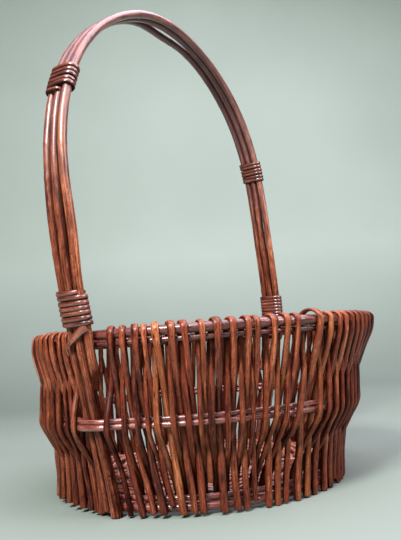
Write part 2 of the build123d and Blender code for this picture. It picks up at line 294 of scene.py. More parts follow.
        # quads first, then the end caps, in the order the maps were made
        loops = np.concatenate([f.reshape(-1) for f, _ in faces])
        sizes = np.concatenate([np.full(len(f), k) for f, k in faces])
        mesh = bpy.data.meshes.new(self.name)
        mesh.vertices.add(len(verts))
        mesh.vertices.foreach_set("co", verts.astype(np.float32).reshape(-1))
        mesh.loops.add(len(loops))
        mesh.loops.foreach_set("vertex_index", loops.astype(np.int32))
        mesh.polygons.add(len(sizes))
        starts = np.concatenate([[0], np.cumsum(sizes)[:-1]])
        mesh.polygons.foreach_set("loop_start", starts.astype(np.int32))
        mesh.polygons.foreach_set("use_smooth", np.ones(len(sizes), bool))
        mesh.update(calc_edges=True)
        for name, data in (("rod", np.concatenate(self.rod)), ("tone", np.concatenate(self.tone))):
            a = mesh.attributes.new(name, "FLOAT_VECTOR", "POINT")
            a.data.foreach_set("vector", data.astype(np.float32).reshape(-1))
        for name, data in (("cut", self.cut), ("painted_shade", self.painted_shade)):
            a = mesh.attributes.new(name, "FLOAT", "POINT")
            a.data.foreach_set("value", np.concatenate(data).astype(np.float32))
        layer = mesh.uv_layers.new(name="OFBake")
        layer.uv.foreach_set("vector", np.concatenate(uvs).astype(np.float32).reshape(-1))
        mesh.validate()
        mesh.materials.append(self.material)
        ob = bpy.data.objects.new(self.name, mesh)
        bpy.context.scene.collection.objects.link(ob)
        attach(ob, "root")
        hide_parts(*self.nodes)
        return ob


# ------------------------------------------------------------------ willow
def willow(name, dark, mid, light, gloss=0.30, coat=0.35, speck=1.0, streak=1.0, shine=0.42, varnish_wear_and_sheen=None):
    m = bpy.data.materials.new(name)
    m.use_nodes = True
    nt = m.node_tree
    nt.nodes.clear()
    N, L = nt.nodes.new, nt.links.new

    def node(kind, **kw):
        n = N(kind)
        for k, v in kw.items():
            setattr(n, k, v)
        return n

    def math_node(op, a, b=None, clamp=False):
        n = node("ShaderNodeMath", operation=op, use_clamp=clamp)
        for i, x in enumerate((a, b)):
            if x is None:
                continue
            if isinstance(x, (int, float)):
                n.inputs[i].default_value = x
            else:
                L(x, n.inputs[i])
        return n.outputs[0]

    def ranged(x, a, b, c, d, smooth=False):
        n = node("ShaderNodeMapRange", clamp=True)
        if smooth:
            n.interpolation_type = "SMOOTHSTEP"
        L(x, n.inputs["Value"])
        for k, v in zip(("From Min", "From Max", "To Min", "To Max"), (a, b, c, d)):
            n.inputs[k].default_value = v
        return n.outputs["Result"]

    def mix(f, a, b, mode="MIX"):
        n = node("ShaderNodeMix", data_type="RGBA", blend_type=mode)
        if isinstance(f, (int, float)):
            n.inputs["Factor"].default_value = f
        else:
            L(f, n.inputs["Factor"])
        for key, x in (("A", a), ("B", b)):
            s = [i for i in n.inputs if i.name == key and i.type == "RGBA"][0]
            if isinstance(x, tuple):
                s.default_value = (*x, 1.0)
            else:
                L(x, s)
        return [o for o in n.outputs if o.type == "RGBA"][0]

    rod = node("ShaderNodeAttribute", attribute_name="rod")
    tone = node("ShaderNodeAttribute", attribute_name="tone")
    cut = node("ShaderNodeAttribute", attribute_name="cut")
    painted_shade = node("ShaderNodeAttribute", attribute_name="painted_shade")
    tones = node("ShaderNodeSeparateXYZ")
    L(tone.outputs["Vector"], tones.inputs[0])
    bright, warm, cut_tone = tones.outputs

    def noise(sx, sz, scale=1.0, detail=3.0, rough=0.55, distortion=0.0):
        mp = node("ShaderNodeMapping")
        mp.inputs["Scale"].default_value = (sx, sx, sz)
        L(rod.outputs["Vector"], mp.inputs["Vector"])
        t = node("ShaderNodeTexNoise")
        t.inputs["Scale"].default_value = scale
        t.inputs["Detail"].default_value = detail
        t.inputs["Roughness"].default_value = rough
        t.inputs["Distortion"].default_value = distortion
        L(mp.outputs[0], t.inputs["Vector"])
        return t.outputs["Fac"]

    blotch = noise(0.22, 0.045, detail=3)        # stain lying unevenly along the rod
    streaks = noise(0.95, 0.022, detail=4)       # bark streaks
    fibre = noise(3.2, 0.10, detail=3)           # fine lengthwise grain
    fleck = noise(1.15, 0.55, detail=2)          # small dark flecks
    scuff = noise(0.75, 0.16, detail=5, rough=0.7)

    # where the stain lies dark or light
    f = math_node("ADD", ranged(blotch, 0.30, 0.70, -0.28, 0.28), 0.47)
    f = math_node("ADD", f, math_node("MULTIPLY", ranged(streaks, 0.30, 0.70, -0.22, 0.22), streak))
    f = math_node("ADD", f, ranged(fibre, 0.3, 0.7, -0.15, 0.15))
    f = math_node("ADD", f, ranged(scuff, 0.3, 0.7, -0.20, 0.20))
    f = math_node("ADD", f, bright, clamp=True)
    ramp = node("ShaderNodeValToRGB")
    ramp.color_ramp.interpolation = "EASE"
    e = ramp.color_ramp.elements
    e[0].position, e[0].color = 0.04, (*dark, 1)
    e[1].position, e[1].color = 0.96, (*light, 1)
    x = e.new(0.5)
    x.color = (*mid, 1)
    L(f, ramp.inputs["Fac"])
    col = ramp.outputs["Color"]
    # some rods are redder, some more ochre
    red = mix(ranged(warm, -1.0, 0.0, 0.8, 0.0), col, (0.85, 0.55, 0.58), "MULTIPLY")
    col = mix(ranged(warm, 0.0, 1.0, 0.0, 0.7), red, (0.45, 0.140, 0.036))
    # flecks, and bud scars
    dots = ranged(fleck, 0.575, 0.70, 0.0, 0.85 * speck, True)
    col = mix(dots, col, tuple(0.45 * c for c in dark))
    vm = node("ShaderNodeMapping")
    vm.inputs["Scale"].default_value = (0.16, 0.16, 0.036)
    L(rod.outputs["Vector"], vm.inputs["Vector"])
    vor = node("ShaderNodeTexVoronoi")
    vor.inputs["Scale"].default_value = 1.0
    L(vm.outputs[0], vor.inputs["Vector"])
    scar = ranged(vor.outputs["Distance"], 0.05, 0.13, 0.8 * speck, 0.0, True)
    col = mix(scar, col, tuple(0.35 * c for c in dark))
    # rubbed places show paler wood
    worn = ranged(scuff, 0.64, 0.78, 0.0, 0.40, True)
    col = mix(worn, col, tuple(min(1.0, 1.35 * c + 0.03) for c in light))
    # painted shade: the crevices between rods and the sides that lie in shadow are darkened
    painted_shade_mask = math_node("MULTIPLY", painted_shade.outputs["Fac"], ranged(scuff, 0.3, 0.7, 1.0, 0.8))
    col = mix(painted_shade_mask, col, (0.085, 0.030, 0.034), "MULTIPLY")
    # sawn or clipped ends
    pith = mix(cut_tone, (0.055, 0.020, 0.012), (0.50, 0.30, 0.15))
    pith = mix(ranged(fibre, 0.35, 0.65, 0.0, 0.6), pith, (0.12, 0.05, 0.025))
    col = mix(cut.outputs["Fac"], col, pith)

    if varnish_wear_and_sheen:
        # painted sheen: less brown and more mauve towards the top, standing in for the lilac reflection of the light
        # above
        place = node("ShaderNodeTexCoord")
        xyz = node("ShaderNodeSeparateXYZ")
        L(place.outputs["Object"], xyz.inputs[0])
        col = mix(ranged(xyz.outputs[2], 0.24, 0.40, 0.0, 0.40, True), col, (0.120, 0.060, 0.080))
    bsdf = node("ShaderNodeBsdfPrincipled")
    L(col, bsdf.inputs["Base Color"])
    ro = math_node("ADD", ranged(scuff, 0.3, 0.75, gloss - 0.06, gloss + 0.14),
                   math_node("MULTIPLY", math_node("MAXIMUM", cut.outputs["Fac"], painted_shade_mask), 0.35), clamp=True)
    L(ro, bsdf.inputs["Roughness"])
    unshaded = math_node("SUBTRACT", 1.0, painted_shade_mask, clamp=True)
    if varnish_wear_and_sheen:
        # the varnish is dull low down and whole higher up
        unshaded = math_node("MULTIPLY", unshaded, ranged(xyz.outputs[2], varnish_wear_and_sheen[0], varnish_wear_and_sheen[1], varnish_wear_and_sheen[2], 1.0, True))
    L(math_node("MULTIPLY", unshaded, shine), bsdf.inputs["Specular IOR Level"])
    L(math_node("MULTIPLY", unshaded, coat), bsdf.inputs["Coat Weight"])
    bsdf.inputs["Coat Roughness"].default_value = 0.26
    h = math_node("ADD", math_node("MULTIPLY", fibre, 0.55), math_node("MULTIPLY", streaks, 0.5))
    h = math_node("SUBTRACT", h, math_node("MULTIPLY", scar, 0.5))
    h = math_node("SUBTRACT", h, math_node("MULTIPLY", dots, 0.25))
    bump = node("ShaderNodeBump")
    bump.inputs["Strength"].default_value = 0.35
    bump.inputs["Distance"].default_value = 0.00035
    L(h, bump.inputs["Height"])
    L(bump.outputs[0], bsdf.inputs["Normal"])
    out = node("ShaderNodeOutputMaterial")
    L(bsdf.outputs[0], out.inputs["Surface"])
    return m


WALL = willow("willow_wall", (0.038, 0.0058, 0.0044), (0.230, 0.052, 0.0195), (0.560, 0.205, 0.086), gloss=0.34, coat=0.18, shine=0.28)
HOOP = willow("willow_hoops", (0.042, 0.0066, 0.0066), (0.185, 0.041, 0.0290), (0.400, 0.150, 0.118), gloss=0.28, coat=0.75, shine=0.6)
HANDLE = willow("willow_handle", (0.038, 0.0074, 0.0050), (0.225, 0.058, 0.0260), (0.520, 0.195, 0.090), gloss=0.36, coat=0.50, shine=0.9,
                streak=1.7, speck=1.1, varnish_wear_and_sheen=(0.17, 0.38, 0.22))
BINDING = willow("willow_binding", (0.038, 0.0072, 0.0060), (0.180, 0.043, 0.0230), (0.430, 0.150, 0.080), gloss=0.28, coat=0.80, shine=0.8)
# the floor weave and sticks are paler and pinker than the wall rods: partly their own colour, partly painted light and
# reflection on the basket's floor
FLOOR = willow("willow_floor", (0.060, 0.0140, 0.0110), (0.260, 0.088, 0.0640), (0.480, 0.240, 0.200), gloss=0.34, coat=0.40, shine=0.6)

# ------------------------------------------------------------------ wall rods
STEP_DEG = (LAST_DEG - FIRST_DEG) / (RODS_PER_SIDE - 1)
RNG = np.random.default_rng(418)
N_RODS = 2 * RODS_PER_SIDE

# Where each rod folds over the rim, in degrees from the near handle end.  They
# are unevenly spaced, as woven.
right = np.concatenate([[7.4, 11.1, 15.0, 17.6, 20.9, 25.2, 28.6, 33.5, 37.7, 41.9, 46.3, 48.5, 53.8, 58.1, 61.4,
                         69.6, 74.4, 79.0, 82.6, 86.9], np.linspace(91.1, LAST_DEG, 20)])
right[20:-1] += RNG.normal(0, 0.45, 19)
left = np.concatenate([np.linspace(180.0 + FIRST_DEG, 329.5, 34), [333.8, 338.4, 342.7, 346.9, 350.0, 353.3]])
left[1:33] += RNG.normal(0, 0.45, 32)
fold_deg = np.concatenate([right, left])

# half thickness at the thick end; some stout rods and some thin ones among them
half = RNG.normal(2.78, 0.30, N_RODS).clip(2.1, 3.2)
half[24:58] = RNG.normal(2.98, 0.22, 34).clip(2.4, 3.3)
half[:18] = [2.75, 2.45, 3.0, 2.25, 2.95, 3.0, 2.75, 2.2, 3.15, 2.7, 2.6, 2.2, 2.9, 2.6, 2.5, 3.15, 2.75, 2.7]

LEVELS = np.array([147.0, 107.0, 78.5, 48.0, 9.0])
TAPER = 0.22
# Angles of every outer and inner leg at five heights.  Willow is stiff, so the
# legs run as straight as their neighbours let them.
out_foot = fold_deg + STEP_DEG * 0.15 + RNG.normal(0, 0.5, N_RODS)
out_foot[:18] = [14.4, 17.7, 21.1, 24.2, 27.5, 31.0, 33.8, 36.6, 40.7, 45.1, 48.3, 51.6, 55.9, 59.6, 62.6, 67.6, 72.4, 76.8]
out_foot[72:] = 360.0 + np.array([-33.6, -30.7, -23.5, -17.7, -13.0, -8.4, -4.3, -2.4])
in_mid = fold_deg - STEP_DEG * 0.45 + RNG.normal(0, 0.35, N_RODS)
in_mid[:16] = [6.2, 10.6, 14.7, 17.5, 20.0, 25.1, 29.6, 33.0, 35.7, 40.6, 45.0, 48.4, 51.8, 55.9, 59.5, 64.0]
in_mid[72:] += np.linspace(0.4, 2.0, 8)
in_rim = fold_deg - STEP_DEG * 0.42
in_rim[:16] = fold_deg[:16] - 1.3
held_out, held_in = np.full((5, N_RODS), np.nan), np.full((5, N_RODS), np.nan)
held_out[0], held_out[4], held_in[0], held_in[2] = fold_deg, out_foot, in_rim, in_mid
# in front, where the wall slants most, the legs are held lower down too
held_out[2, :13] = [7.0, 11.0, 15.1, 18.4, 22.5, 26.9, 30.9, 34.4, 38.6, 43.0, 47.2, 49.4, 54.2]
held_out[3, :13] = [8.6, 13.7, 17.8, 20.9, 24.3, 28.8, 32.1, 35.6, 39.2, 43.7, 47.5, 50.2, 54.8]
held_in[3, :13] = [5.6, 10.6, 15.4, 19.3, 22.4, 26.4, 30.4, 33.9, 37.3, 41.6, 45.7, 48.9, 52.6]
leg_out = fold_deg + (out_foot - fold_deg) * ((147.0 - LEVELS) / 138.0)[:, None]
slope = (in_mid - fold_deg + STEP_DEG * 0.02) / 68.5
leg_in = fold_deg - STEP_DEG * 0.02 + slope * (147.0 - LEVELS)[:, None]


def handle_blocks(radius, near, far):
    """Edges of the handle at one level as angles; near and far are (lowest x, highest x) in millimetres."""
    d = math.degrees
    return [d(near[1] / radius), 180 - d(far[1] / radius), 180 - d(far[0] / radius), 360 + d(near[0] / radius)]


def apart(deg, width, radius, blocks):
    """One step of pushing overlapping rods apart round the ring; blocks are fixed angles."""
    d = np.concatenate([deg, blocks])
    w = np.concatenate([width, np.zeros(len(blocks))])
    fixed = np.concatenate([np.zeros(len(deg), bool), np.ones(len(blocks), bool)])
    order = np.argsort(d)
    nxt = np.roll(order, -1)
    mm = math.radians(1.0) * radius
    gap = (d[nxt] - d[order] + np.where(np.arange(len(d)) == len(d) - 1, 360.0, 0.0)) * mm
    short = np.maximum(0, w[order] + w[nxt] - gap) / mm
    move = np.zeros(len(d))
    a_free, b_free = ~fixed[order], ~fixed[nxt]
    np.add.at(move, order, -short * np.where(b_free, 0.5, 1.0) * a_free)
    np.add.at(move, nxt, short * np.where(a_free, 0.5, 1.0) * b_free)
    return deg + 0.6 * move[:len(deg)]


RING = [161.0, 150.0, 145.0, 135.3, 133.0]
NEAR_X = [(-17.0, 8.5), (-14.0, 10.5), (-10.0, 7.0), (-8.0, 9.5), (-3.2, 13.8)]
FAR_X = [(-11.5, 12.5), (-9.0, 13.0), (-7.0, 10.0), (-9.5, 8.0), (-13.8, 3.2)]
for turn in range(700):
    blend = 0.5 if turn < 600 else 0.0
    for legs, held_at in ((leg_out, held_out), (leg_in, held_in)):
        for a in range(5):
            if a in (0, 4):
                b, c = (1, 2) if a == 0 else (3, 2)
                line = legs[b] + (legs[b] - legs[c]) * (LEVELS[a] - LEVELS[b]) / (LEVELS[b] - LEVELS[c])
            else:
                q = (LEVELS[a] - LEVELS[a - 1]) / (LEVELS[a + 1] - LEVELS[a - 1])
                line = legs[a - 1] * (1 - q) + legs[a + 1] * q
            pull = np.where(np.isnan(held_at[a]), 0.0, 0.35) if turn < 600 else 0.0
            legs[a] += blend * 0.5 * (line - legs[a])
            legs[a] += pull * (np.nan_to_num(held_at[a], nan=0.0) - legs[a])
    for a, scale in ((0, 1.03), (2, 0.93), (4, 1.0)):
        leg_out[a] = apart(leg_out[a], half * scale, RING[a], handle_blocks(RING[a], NEAR_X[a], FAR_X[a]))
    leg_in[2] = apart(leg_in[2], half * 0.84, 150.0, handle_blocks(150.0, NEAR_X[2], FAR_X[2]))
    leg_in[4] = apart(leg_in[4], half * 0.79, 123.0, [])
    leg_in[0] = apart(leg_in[0], half * 1.0, 150.0, [])
    for a, so, si in ((1, 0.92, 0.86), (3, 0.97, 0.80)):
        both = np.concatenate([leg_out[a], leg_in[a]])
        both = apart(both, np.concatenate([half * so, half * si]) * 0.94, RING[a], handle_blocks(RING[a], NEAR_X[a], FAR_X[a]))
        leg_out[a], leg_in[a] = both[:N_RODS], both[N_RODS:]
fold_deg, out_foot = leg_out[0], leg_out[4]
leg_in[4, 0] = 8.8          # beside the near handle foot one inner leg ends outside the base hoop

# cut ends do not all reach the same height
ends_at = np.array([-40, -21, -14, -10, -5, 3, 8, 14, 18, 27, 34, 40, 46, 55, 60, 67, 84, 101, 180, 270, 320.0])
ends_z = np.array([9.6, 9.6, 9.3, 8.6, 7.8, 6.2, 6.5, 6.9, 8.8, 8.6, 8.8, 7.6, 8.2, 6.9, 6.2, 6.6, 6.6, 6.6, 7.0, 8.0, 9.6])
turned = (out_foot + 40.0) % 360.0 - 40.0
foot_z = np.interp(turned, ends_at, ends_z) + np.abs(RNG.normal(0, 0.5, N_RODS)) - 0.3
for k in (3, 11, 20, 27):
    foot_z[k] += RNG.uniform(4.0, 6.0)
foot_z[7] = 30.0
foot_z[RNG.choice(np.arange(30, 72), 8, replace=False)] += RNG.uniform(2.5, 5.0, 8)
foot_z = np.maximum(foot_z, FOOT_Z + 0.05)
foot_z[[30, 38, 44, 52, 60, 66]] = FOOT_Z + 0.05

# a rod near the right end of the view stands loose above the rim: (rise, bulge, sideways)
LIFT = {15: (2.4, 1.0, -4.6)}


def bulge(deg):
    """How far the middle hoops are pushed out where they pass the stiff handle legs."""
    x = np.radians((np.asarray(deg, float) + 180.0) % 360.0 - 180.0) * 150.0
    y = np.radians((np.asarray(deg, float) % 360.0) - 180.0) * 150.0
    out = 0.0
    for d in (x + 2.5, y - 2.5):
        out = out + 10.6 * np.exp(-(np.maximum(0, np.abs(d) - 8.0) / np.where(d < 0, 6.0, 13.5)) ** 2)
    return out


def flat_at(z):
    t = np.clip((z - (RIM_Z - 11.0)) / 13.0, 0, 1)
    return t * t * (3 - 2 * t)


# the folds at the right-hand end have worked loose and stand out from the rim
flare = 6.4 * np.exp(-((fold_deg - 114.0) / 15.0) ** 2) * RNG.uniform(0.5, 1.25, N_RODS)


def hairpin(k):
    """One wall rod from its foot, over the rim, to its inner end: points, radius, thickness, width, way across, and the
    painted shade of its sides.
    """
    r = half[k]
    rng = np.random.default_rng(9000 + k)
    flat = rng.uniform(0.44, 0.52)
    r_mid_o, r_top, r_mid_i, r_end = 0.93 * r, 0.885 * r, 0.83 * r, (1 - TAPER) * r
    rb = BASE_R + BASE_LOW_ROD + r + 0.1
    rho = RIM_ROD + r_top * (1 - flat) + 0.12
    rim_o, rim_i = RIM_R + rho + flare[k], RIM_R - rho
    mid_in = MID_R - MID_LOW_ROD - r_mid_o - 0.15 + min(bulge(leg_out[2, k] + w) for w in (-0.7, 0.0, 0.7))
    mid_out = MID_R + MID_LOW_ROD + r_mid_i + 0.15 + max(bulge(leg_in[2, k] + w) for w in (-0.7, 0.0, 0.7))
    bi = BASE_R - BASE_UP_ROD - r_end - 0.15
    z0 = foot_z[k]
    j = rng.normal(0, 1, 8)
    # the outer leg
    zo = np.array([-6, 12, 25, 47 + 2.6 * j[0], 78.5, 105 + 1.8 * j[1], 123, 136, 147, 160.0])
    ro = np.array([rb, rb, rb + 0.25, 135.4 + 0.35 * j[2], mid_in, 148.9 + 0.4 * j[3], 0.47 * rim_o + 79.4, 0.80 * rim_o + 30.2, rim_o - 0.2, rim_o])
    z = np.linspace(z0, RIM_Z, int((RIM_Z - z0) / 2.1))
    f1 = leg_out[::-1, k]
    F1 = catmull([-13, 9, 48, 78.5, 107, 147, 160], [f1[0] + 0.45 * (f1[0] - f1[1]), *f1, f1[4] + 0.3 * (f1[4] - f1[3])], z)
    leg1 = polar(catmull(zo, ro, z), F1, z)
    # the fold over the rim
    lift = LIFT.get(k, (0.0, 0.0, 0.0))
    a = np.linspace(0, math.pi, 17)[1:-1]
    s = a / math.pi
    f_in = (leg_in[0, k] if k not in LIFT else fold_deg[k] + lift[2])
    F2 = fold_deg[k] + (f_in - fold_deg[k]) * (3 * s**2 - 2 * s**3)
    fold = polar(RIM_R + (rho + lift[1] * np.sin(a)) * np.cos(a) + flare[k] * (0.5 + 0.5 * np.cos(a)), F2, RIM_Z + (rho + lift[0] * np.sin(a)) * np.sin(a))
    # the inner leg
    zi = np.array([4, 17, 26, 34, 47 + 2.6 * j[6], 62, 74.0, 82.5, 104, 122, 138, 147, 160.0])
    ri = np.array([bi, bi, bi + 0.9, bi + 4.6, 135.0 + 0.35 * j[7], 0.62 * mid_out + 51.0, mid_out + 0.1, mid_out + 0.3, 150.6, 149.3, rim_i + 0.2, rim_i, rim_i])
    low = 17.3 + abs(0.8 * j[0])
    if k == 0:
        ri[:5], low = [rb, rb, rb + 0.3, rb + 1.2, 137.2], FOOT_Z + 1.2
    z = np.linspace(RIM_Z, low, 66)
    f3 = leg_in[::-1, k].copy()
    f3[4] = f_in
    F3 = catmull([-13, 9, 48, 78.5, 107, 147, 160], [f3[0] + 0.45 * (f3[0] - f3[1]), *f3, f3[4] + 0.3 * (f3[4] - f3[3])], z)
    leg2 = polar(catmull(zi, ri, z), F3, z)
    p = even(skew(np.vstack([leg1, fold, leg2])), 2.0)
    n = len(p)
    along = np.linspace(0, 1, n)
    rad = r * (1 - TAPER * along)
    z = p[:, 2]
    f = flat_at(z)
    side = polar(1.0, np.interp(along, [0, 1], [fold_deg[k], f_in]) + 90.0, 0.0)
    free = np.minimum(1, np.minimum(along, 1 - along) * 12) * (1 - f)
    p += side * (wander(rng, n, 2.0, 40.0, 0.16) * free)[:, None]
    p[:, :2] += np.stack([wander(rng, n, 2.0, 26.0, 0.10) for _ in range(2)], 1) * free[:, None]
    pinch = np.exp(-((z - 107) / 9) ** 2) + np.exp(-((z - 48) / 9) ** 2)
    thick = 1 - flat * f + 0.03 * pinch
    wide = 1 + 0.17 * f - 0.07 * pinch + 0.03 * wander(rng, n, 2.0, 22.0, 1.0)
    # painted shade: sides that face the next rod, and the sides turned to the inside, lie in shadow and are painted
    # dark
    way = np.where(np.gradient(p[:, 2]) >= 0, 1.0, -1.0)[:, None]

    def painted_shade(ang):
        inward = -way * np.cos(ang)[None]
        dark = np.interp(inward, [-1.0, -0.62, -0.25, 0.05, 0.45, 1.0], [0.0, 0.05, 0.36, 0.74, 0.94, 0.90])
        # painted shade: darker towards the bottom of the wall
        foot = 0.42 * np.clip((72.0 - p[:, 2:3]) / 50.0, 0, 1)
        # painted shade: the inner leg, lying behind the outer ones, is darkened
        behind = 0.36 * np.clip((along[:, None] - 0.52) / 0.08, 0, 1)      # the inner leg lies behind the outer ones
        return np.clip(dark * (1 - 0.50 * f[:, None]) + foot + behind, 0, 0.95)

    return p, rad, thick, wide, side, painted_shade


TONES = RNG.normal(0.0, 0.14, N_RODS).clip(-0.26, 0.28)
WARMS = np.where(RNG.uniform(0, 1, N_RODS) < 0.16, RNG.uniform(0.2, 0.6, N_RODS), RNG.uniform(-0.7, 0.05, N_RODS))
WARMS[17:34] = RNG.uniform(-1.0, -0.45, 17)          # the right end is redder
TONES[17:34] -= 0.06
TONES[64:] -= 0.10
for side in (0, 1):
    for g in range(RODS_PER_SIDE // 4):
        name = f"wall_rods_{'right' if side == 0 else 'left'}_{g + 1:02d}"
        piece = Piece("woven_" + name, [name], "willow_wall", WALL)
        for q in range(4):
            k = side * RODS_PER_SIDE + 4 * g + q
            p, rad, thick, wide, way, painted_shade = hairpin(k)
            piece.add(p, rad, np.random.default_rng(500 + k), TONES[k], WARMS[k], sides=14,
                      cut_tone=0.8 if k in (4, 33, 61) else RNG.uniform(0.0, 0.25), across=way, thick=thick, wide=wide, painted_shade=painted_shade)
        piece.build()


# ------------------------------------------------------------------ hoops
def hoop(name, radius, rod, z, seed, join_deg, lap=26.0, tone=0.0, warm=0.0, wave=0.35):
    """A rod bent into a ring whose thinned ends lie one over the other."""
    rng = np.random.default_rng(seed)
    turn = math.degrees(lap / radius)
    n = int((2 * math.pi * radius + lap) / 2.4)
    deg = join_deg + np.linspace(-turn / 2, 360 + turn / 2, n)
    s = np.linspace(0, 2 * math.pi * radius + lap, n)
    end = np.minimum(s, s[::-1])
    ease = np.clip(end / lap, 0, 1)
    ease = ease * ease * (3 - 2 * ease)
    side = np.where(s < s[-1] / 2, -1.0, 1.0)
    rad = rod * (0.52 + 0.48 * ease)
    shift = side * (1 - ease) * rod * 0.56
    wob = wander(rng, n, 2.4, 60.0, wave) * np.clip(end / 60, 0, 1)
    wobz = wander(rng, n, 2.4, 55.0, wave * 0.8) * np.clip(end / 60, 0, 1)
    p = skew(polar(radius + shift + 0.3 * wob + (bulge(deg) if radius == MID_R else 0), deg, z + 0.6 * wobz))
    piece = Piece("bent_" + name, [name], "willow_hoops", HOOP)
    piece.add(p, rad, rng, tone, warm, sides=16, cut_tone=0.35, knots=1.2, rough=0.8)
    piece.build()


# the middle hoops get a lighter tone and the rod under the rim a darker one: partly their own colour, partly painted
# light from above on the middle hoops and painted shade under the rim
hoop("rim_hoop", RIM_R, RIM_ROD, RIM_Z, 21, 118.0, lap=42.0, tone=-0.20, warm=-0.35)
hoop("under_rim_rod", RIM_R - 0.6, UNDER_ROD, UNDER_Z, 22, 236.0, tone=-0.26, warm=-0.2)
hoop("middle_hoop_upper", MID_R, MID_UP_ROD, MID_UP_Z, 23, 292.0, tone=0.16, warm=-0.05)
hoop("middle_hoop_lower", MID_R, MID_LOW_ROD, MID_LOW_Z, 24, 141.0, tone=0.20, warm=-0.05)
hoop("base_hoop_upper", BASE_R, BASE_UP_ROD, BASE_UP_Z, 25, 203.0, tone=0.06, warm=-0.2)
hoop("base_hoop_lower", BASE_R, BASE_LOW_ROD, BASE_LOW_Z, 26, 57.0, lap=36.0, tone=0.04, warm=-0.25)


# ------------------------------------------------------------------ handle
def handle_axis():
    """Centre line of the handle from the near foot over the top to the far foot."""
    r = MIDDLE_ROD
    ob, orim = BASE_R + BASE_LOW_ROD + r + 0.3, RIM_R + RIM_ROD + r + 0.4
    leg_z = np.array([-12, 12, 26, 48, 78.5, 104, 122, 136, 147, 158.0])
    leg_y = np.array([ob - 1.5, ob, ob + 2.4, 142.0, 148.6, 154.3, 158.3, 161.4, orim + 0.2, orim + 2.0])
    z = np.arange(FOOT_Z + 0.2, 148, 2.5)
    y = catmull(leg_z, leg_y, z)

    def leg(sign):
        at_rim = HANDLE_X + sign * HANDLE_TURN * orim
        share = np.maximum(0, (138.0 - z) / (138.0 - FOOT_Z))
        x = at_rim + (-sign * FOOT_X - at_rim) * share
        return skew(np.stack([x, sign * y, z], -1))

    a = np.array(ARCH)
    over = np.stack([HANDLE_X + HANDLE_TURN * a[:, 0] + HANDLE_LEAN * (a[:, 1] - ARCH_Z0), a[:, 0], a[:, 1]], -1)
    p = np.vstack([leg(-1), over, leg(1)[::-1]])
    s = np.concatenate([[0], np.cumsum(np.linalg.norm(np.diff(p, axis=0), axis=1))])
    return smooth(even(catmull(s, p, np.arange(0, s[-1], 1.0)), 2.5), 5)


def smooth(p, times):
    for _ in range(times):
        p[1:-1] = 0.25 * p[:-2] + 0.5 * p[1:-1] + 0.25 * p[2:]
    return p


AXIS = handle_axis()
_s = np.concatenate([[0], np.cumsum(np.linalg.norm(np.diff(AXIS, axis=0), axis=1))])


def axis_frame(at):
    """Point, direction, outward normal and sideways direction of the handle at lengths along it."""
    p = np.stack([np.interp(at, _s, AXIS[:, i]) for i in range(3)], -1)
    t = np.stack([np.interp(at + 3, _s, AXIS[:, i]) - np.interp(at - 3, _s, AXIS[:, i]) for i in range(3)], -1)
    t /= np.linalg.norm(t, axis=-1, keepdims=True)
    n = np.cross(np.array([1.0, 0, 0]), t)
    n /= np.linalg.norm(n, axis=-1, keepdims=True)
    return p, t, n, np.cross(t, n)


def at_height(z, near=True):
    top = int(np.argmax(AXIS[:, 2]))
    if near:
        return float(np.interp(z, AXIS[:top, 2], _s[:top]))
    return float(np.interp(z, AXIS[top:, 2][::-1], _s[top:][::-1]))


LOW_N, UP_N = at_height(155.0), at_height(346.5)
LOW_F, UP_F = at_height(158.5, False), at_height(332.0, False)
BOUND = [(LOW_N, LOW_N + 28), (UP_N, UP_N + 24), (UP_F - 24, UP_F), (LOW_F - 28, LOW_F)]


def held(at):
    """1 where a binding holds the handle rods together, falling to 0 between bindings."""
    out = np.zeros_like(at)
    for a, b in BOUND:
        d = np.maximum(np.maximum(a - at, at - b), 0)
        out = np.maximum(out, np.exp(-(d / 40.0) ** 2))
    return out


def thickness(side, at):
    """Half thickness of a handle rod at lengths along the handle; the middle one is stout at its near foot."""
    share = np.asarray(at, float) / _s[-1]
    if side == 0:
        return np.interp(share, [0, 0.07, 0.13, 0.17, 0.26, 0.5, 0.84, 1], [4.75, 4.7, 4.5, 4.2, 3.95, 3.9, 3.95, 4.0])
    return np.interp(share, [0, 0.13, 0.2, 0.5, 0.86, 1], [3.4, 3.6, 3.8, 3.75, 3.7, 3.5])


